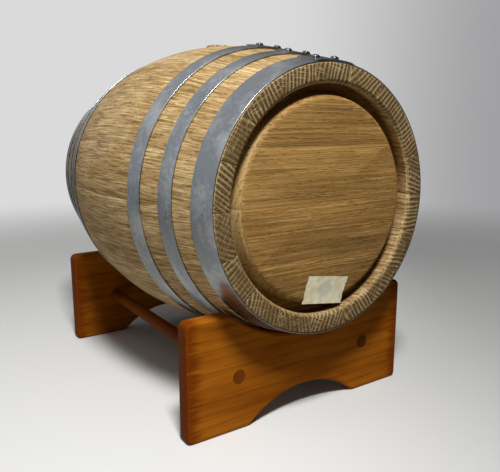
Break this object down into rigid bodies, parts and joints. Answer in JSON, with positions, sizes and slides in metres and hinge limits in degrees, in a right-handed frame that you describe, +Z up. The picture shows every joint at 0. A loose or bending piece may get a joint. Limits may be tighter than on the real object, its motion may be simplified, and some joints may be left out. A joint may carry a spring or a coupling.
{
  "type": "oak barrel on stand",
  "caption": "Small oak ageing barrel with riveted steel hoops, lying in a two-board wooden stand, with a bung on top and a taped tap hole in its front head.",
  "frame": {"origin": "on the floor under the middle of the barrel, between the four feet of the stand", "axes": "+Z up, +Y along the barrel's axis from the front head to the rear head, +X to the right when looking at the front head"},
  "size_m": [0.2108, 0.27, 0.2556],
  "materials": {
    "oak_stave": "sanded bare oak",
    "oak_head": "sanded bare oak",
    "oak_bung": "turned bare oak",
    "beech_dowel": "bare wood",
    "galvanised_steel": "dull galvanised strip",
    "rivet_steel": "bright",
    "stained_pine": "stained and waxed",
    "stained_dowel": "stained",
    "paper_tape": "crepe paper"
  },
  "bodies": {
    "stand": {"front_cradle": "stained_pine", "rear_cradle": "stained_pine", "left_rail": "stained_dowel", "right_rail": "stained_dowel"},
    "barrel": {"bung_stave": "oak_stave", "stave_02": "oak_stave", "stave_03": "oak_stave", "stave_04": "oak_stave", "stave_05": "oak_stave", "stave_06": "oak_stave", "stave_07": "oak_stave", "stave_08": "oak_stave", "stave_09": "oak_stave", "stave_10": "oak_stave", "stave_11": "oak_stave", "stave_12": "oak_stave", "stave_13": "oak_stave", "stave_14": "oak_stave", "stave_15": "oak_stave", "stave_16": "oak_stave", "stave_17": "oak_stave", "stave_18": "oak_stave", "front_head_board_1": "oak_head", "front_head_board_2": "oak_head", "front_head_board_3": "oak_head", "front_head_board_4": "oak_head", "rear_head_board_1": "oak_head", "rear_head_board_2": "oak_head", "rear_head_board_3": "oak_head", "rear_head_board_4": "oak_head", "front_head_dowels": "beech_dowel", "rear_head_dowels": "beech_dowel", "front_head_hoop": "galvanised_steel", "front_quarter_hoop": "galvanised_steel", "front_bilge_hoop": "galvanised_steel", "rear_head_hoop": "galvanised_steel", "rear_quarter_hoop": "galvanised_steel", "rear_bilge_hoop": "galvanised_steel", "front_head_hoop_rivets": "rivet_steel", "front_quarter_hoop_rivets": "rivet_steel", "front_bilge_hoop_rivets": "rivet_steel", "rear_head_hoop_rivets": "rivet_steel", "rear_quarter_hoop_rivets": "rivet_steel", "rear_bilge_hoop_rivets": "rivet_steel"},
    "bung": {"bung": "oak_bung"},
    "tape": {"tape_patch": "paper_tape"}
  },
  "joints": [
    {"name": "barrel_roll", "type": "hinge", "parent": "stand", "child": "barrel", "pos_m": [0, 0, 0.14815], "axis": [0, 1, 0], "continuous": true},
    {"name": "bung_pull", "type": "slide", "parent": "barrel", "child": "bung", "axis": [0, 0, 1], "range_m": [0, 0.045]},
    {"name": "tape_peel", "type": "hinge", "parent": "barrel", "child": "tape", "pos_m": [0.0029, -0.1323, 0.09923], "axis": [-0.989, 0, 0.1478], "range_deg": [0, 120]}
  ]
}
